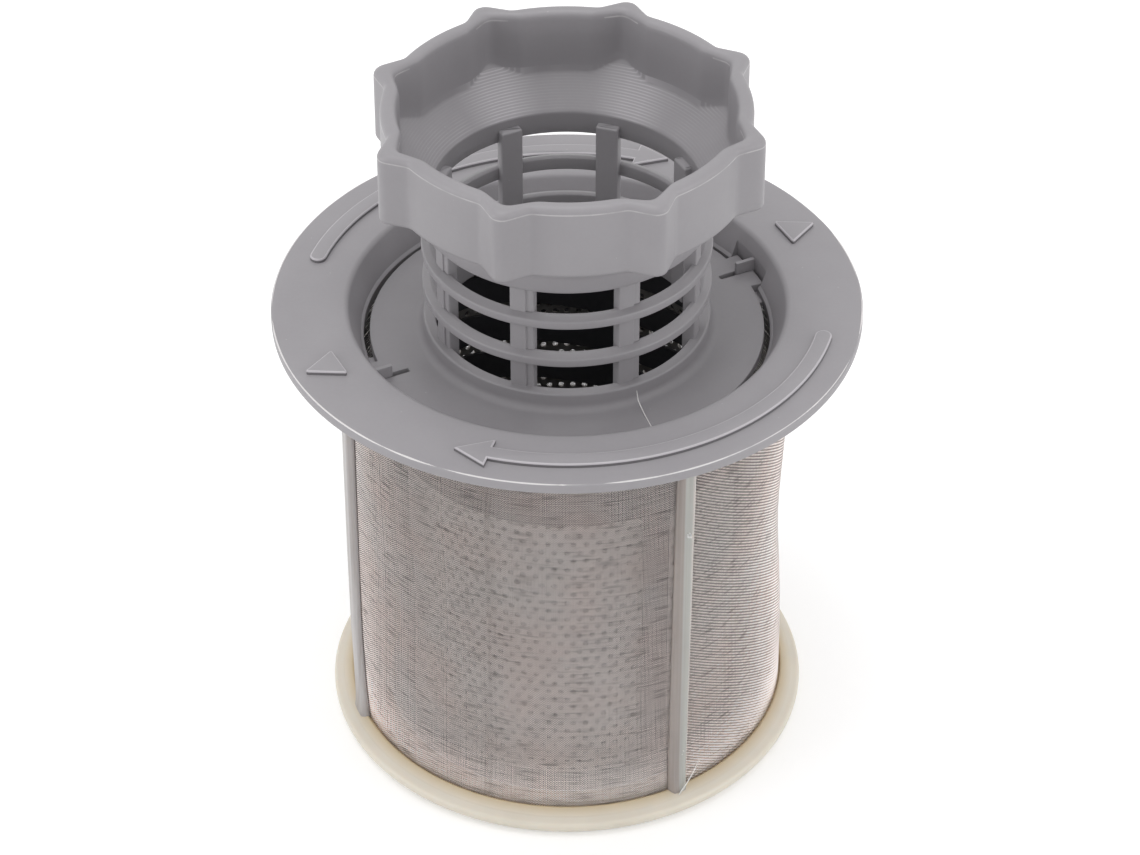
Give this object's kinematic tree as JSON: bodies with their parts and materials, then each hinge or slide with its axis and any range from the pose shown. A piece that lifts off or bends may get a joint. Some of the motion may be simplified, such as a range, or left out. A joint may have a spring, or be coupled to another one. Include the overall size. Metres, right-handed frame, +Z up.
{
  "type": "dishwasher filter",
  "caption": "Cylindrical dishwasher filter set: a lobed grip over a caged throat and perforated basket, keyed into the flange of a fine woven drum on a base ring.",
  "frame": {"origin": "middle of the base ring's underside", "axes": "+Z up along the set's axis, -Y towards the front of the picture, +X to its right"},
  "size_m": [0.105, 0.105, 0.1313],
  "materials": {
    "flange_grey": "satin moulded grey",
    "strainer_grey": "satin moulded grey",
    "woven_steel": "fine plain weave",
    "milky_plastic": "milky, slightly see-through",
    "dark_plastic": "satin moulded dark grey",
    "perforated_steel": "perforated sheet"
  },
  "bodies": {
    "drum": {"flange_ring": "flange_grey", "mesh_wall": "woven_steel", "drum_frame": "milky_plastic"},
    "strainer": {"strainer_top": "strainer_grey", "basket_frame": "dark_plastic", "perforated_sleeve": "perforated_steel"}
  },
  "joints": [
    {"name": "strainer_lift", "type": "slide", "parent": "drum", "child": "strainer", "axis": [0, 0, 1], "range_m": [0, 0.095]}
  ]
}
